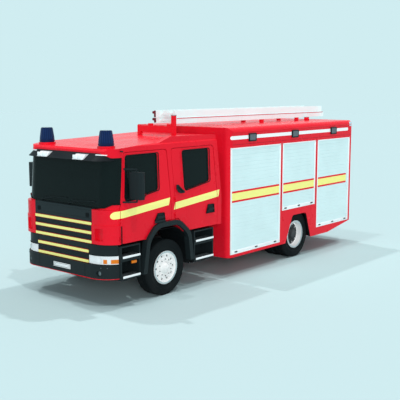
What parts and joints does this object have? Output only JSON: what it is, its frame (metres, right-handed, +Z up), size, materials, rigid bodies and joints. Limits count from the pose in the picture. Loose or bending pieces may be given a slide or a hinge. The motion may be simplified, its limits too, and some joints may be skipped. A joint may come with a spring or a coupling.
{
  "type": "crew-cab fire engine with roller-shutter body",
  "caption": "Forward-control fire engine with opening crew-cab doors, steered front wheels, twin rear wheels, roller-shutter lockers, roof ladder and beacons.",
  "frame": {"origin": "on the ground below the middle of the vehicle's length and width", "axes": "+X forward, +Y to the vehicle's left, +Z up"},
  "size_m": [7.9507, 2.93, 3.2203],
  "materials": {
    "red_paint": "gloss red coach paint",
    "body_red": "gloss red coach paint",
    "white_shutter": "satin white slats",
    "black_trim": "satin black",
    "chassis_paint": "satin black",
    "axle_iron": "painted dark grey",
    "tyre_rubber": "matte",
    "wheel_paint": "satin silver white",
    "tinted_glass": "dark tint",
    "lamp_clear": "clear lens over reflector",
    "lamp_red": "red and white lenses",
    "lamp_grey": "dark lenses",
    "beacon_blue": "dark blue lens",
    "slat_yellow": "pale reflective yellow",
    "tread_plate": "brushed",
    "ladder_white": "pale",
    "seat_cloth": "woven dark grey",
    "dash_plastic": "grained",
    "tank_plastic": "moulded"
  },
  "bodies": {
    "vehicle": {"front_axle": "axle_iron", "rear_axle": "axle_iron", "leaf_springs": "chassis_paint", "chassis_frame": "chassis_paint", "engine_gearbox": "axle_iron", "cab_shell": "red_paint", "windscreen": "tinted_glass", "arch_flares": "black_trim", "bumper": "black_trim", "front_lamps": "lamp_clear", "grille_panel": "black_trim", "grille_slats": "slat_yellow", "step_boxes": "black_trim", "step_treads": "tread_plate", "beacons": "beacon_blue", "sun_visor": "black_trim", "corner_panels": "red_paint", "body_shell": "body_red", "shutters_left": "white_shutter", "shutters_right": "white_shutter", "shutter_rear": "white_shutter", "rear_lamps": "lamp_red", "side_lamps": "lamp_grey", "rear_step": "tread_plate", "water_tank": "tank_plastic", "ladder_lower": "ladder_white", "ladder_upper": "ladder_white", "ladder_gantry": "body_red", "seats": "seat_cloth", "dashboard": "dash_plastic"},
    "knuckle_left": {"knuckle_left": "axle_iron"},
    "knuckle_right": {"knuckle_right": "axle_iron"},
    "track_rod": {"track_rod": "axle_iron"},
    "wheel_front_left": {"tyre_front_left": "tyre_rubber", "rim_front_left": "wheel_paint"},
    "wheel_front_right": {"tyre_front_right": "tyre_rubber", "rim_front_right": "wheel_paint"},
    "wheels_rear_left": {"tyres_rear_left": "tyre_rubber", "rims_rear_left": "wheel_paint"},
    "wheels_rear_right": {"tyres_rear_right": "tyre_rubber", "rims_rear_right": "wheel_paint"},
    "front_left_door": {"door_front_left": "red_paint", "glass_front_left": "tinted_glass", "mirror_left": "black_trim"},
    "front_right_door": {"door_front_right": "red_paint", "glass_front_right": "tinted_glass", "mirror_right": "black_trim"},
    "rear_left_door": {"door_rear_left": "red_paint", "glass_rear_left": "tinted_glass"},
    "rear_right_door": {"door_rear_right": "red_paint", "glass_rear_right": "tinted_glass"}
  },
  "joints": [
    {"name": "steer_left", "type": "hinge", "parent": "vehicle", "child": "knuckle_left", "pos_m": [2.585, 0.86, 0.5], "axis": [0, 0, 1], "range_deg": [-38, 38]},
    {"name": "steer_right", "type": "hinge", "parent": "vehicle", "child": "knuckle_right", "pos_m": [2.585, -0.86, 0.5], "axis": [0, 0, 1], "range_deg": [-38, 38]},
    {"name": "track_rod_pivot", "type": "hinge", "parent": "knuckle_left", "child": "track_rod", "pos_m": [2.385, 0.86, 0.43], "axis": [0, 0, 1], "range_deg": [-38, 38]},
    {"name": "wheel_front_left_spin", "type": "hinge", "parent": "knuckle_left", "child": "wheel_front_left", "pos_m": [2.585, 1.03, 0.5], "axis": [0, 1, 0], "continuous": true},
    {"name": "wheel_front_right_spin", "type": "hinge", "parent": "knuckle_right", "child": "wheel_front_right", "pos_m": [2.585, -1.03, 0.5], "axis": [0, 1, 0], "continuous": true},
    {"name": "wheels_rear_left_spin", "type": "hinge", "parent": "vehicle", "child": "wheels_rear_left", "pos_m": [-1.535, 0.89, 0.5], "axis": [0, 1, 0], "continuous": true},
    {"name": "wheels_rear_right_spin", "type": "hinge", "parent": "vehicle", "child": "wheels_rear_right", "pos_m": [-1.535, -0.89, 0.5], "axis": [0, 1, 0], "continuous": true},
    {"name": "front_left_door_hinge", "type": "hinge", "parent": "vehicle", "child": "front_left_door", "pos_m": [3.681, 1.19, 1.4], "axis": [0, 0, -1], "range_deg": [0, 62]},
    {"name": "rear_left_door_hinge", "type": "hinge", "parent": "vehicle", "child": "rear_left_door", "pos_m": [2.351, 1.205, 1.4], "axis": [0, 0, -1], "range_deg": [0, 75]},
    {"name": "front_right_door_hinge", "type": "hinge", "parent": "vehicle", "child": "front_right_door", "pos_m": [3.681, -1.19, 1.4], "axis": [0, 0, 1], "range_deg": [0, 62]},
    {"name": "rear_right_door_hinge", "type": "hinge", "parent": "vehicle", "child": "rear_right_door", "pos_m": [2.351, -1.205, 1.4], "axis": [0, 0, 1], "range_deg": [0, 75]}
  ],
  "couplings": [
    {"joint": "steer_right", "follows": "steer_left", "ratio": 1},
    {"joint": "track_rod_pivot", "follows": "steer_left", "ratio": -1}
  ]
}
